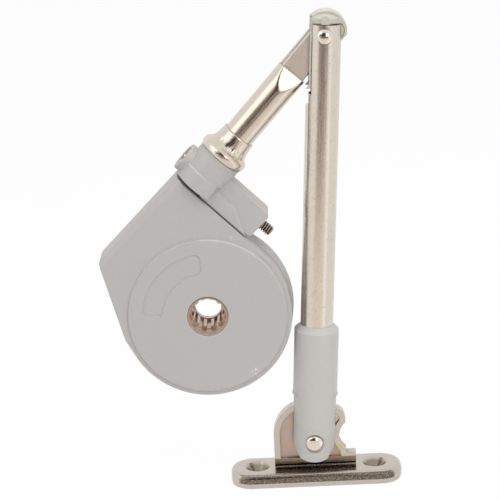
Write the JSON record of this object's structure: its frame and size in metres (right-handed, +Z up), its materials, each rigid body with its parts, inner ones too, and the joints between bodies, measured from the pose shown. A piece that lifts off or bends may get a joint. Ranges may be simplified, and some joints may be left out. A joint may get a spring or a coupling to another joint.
{
  "type": "spring drum lid stay",
  "caption": "Folding lid stay: round spring drum on a splined hub, a jointed arm of two metal tubes and a screw-on foot.",
  "frame": {"origin": "on the hub's axis, in the plane of the wall that the drum is fixed to", "axes": "+Y along the hub's bore into the wall, +Z up, +X to the right seen from the front"},
  "size_m": [0.1077, 0.0186, 0.1767],
  "materials": {
    "casing": "fine satin moulding",
    "sleeve": "satin moulding",
    "cap": "translucent natural nylon",
    "nickel": "nickel plated steel",
    "casting": "nickel plated die casting",
    "hub_steel": "sintered steel with a copper tint",
    "spring_steel": "oiled spring steel",
    "screw_steel": "passivated steel"
  },
  "bodies": {
    "hub": {"hub": "hub_steel", "hub_washers": "nickel"},
    "drum": {"front_cover": "casing", "rear_housing": "casing", "housing_screws": "nickel", "drum_spring": "spring_steel", "arm_ferrule": "nickel", "inner_arm": "nickel", "arm_link": "nickel", "link_liner": "cap"},
    "shoe": {"spring_shoe": "nickel", "shoe_nut": "screw_steel"},
    "screw": {"adjusting_screw": "screw_steel", "screw_washer": "screw_steel", "screw_clip": "spring_steel"},
    "outer_arm": {"outer_arm": "nickel", "end_cap": "cap", "fork_sleeve": "sleeve", "elbow_rivet": "nickel", "elbow_washers": "nickel", "foot_rivet": "nickel", "foot_washers": "nickel"},
    "foot": {"foot_bracket": "casting"}
  },
  "joints": [
    {"name": "drum_turn", "type": "hinge", "parent": "hub", "child": "drum", "pos_m": [0, 0, 0], "axis": [0, -1, 0], "range_deg": [0, 100], "stiffness_Nm_per_rad": 0.66, "springref_deg": -60.16, "deforming": ["drum_spring"]},
    {"name": "elbow", "type": "hinge", "parent": "drum", "child": "outer_arm", "pos_m": [0.04616, -0.0093, 0.10042], "axis": [0, -1, 0], "range_deg": [0, 55]},
    {"name": "foot_pivot", "type": "hinge", "parent": "outer_arm", "child": "foot", "pos_m": [0.03702, -0.0093, -0.05111], "axis": [0, -1, 0], "range_deg": [-35, 90]},
    {"name": "screw_turn", "type": "hinge", "parent": "drum", "child": "screw", "pos_m": [0.02659, -0.0076, 0.02659], "axis": [0.7071, 0, -0.7071], "range_deg": [-1080, 1080]},
    {"name": "shoe_slide", "type": "slide", "parent": "drum", "child": "shoe", "axis": [0.7071, 0, -0.7071], "range_m": [-0.00284, 0.00284], "deforming": ["drum_spring"]}
  ],
  "couplings": [
    {"joint": "screw_turn", "follows": "shoe_slide", "rad_per_m": -6613.9}
  ]
}
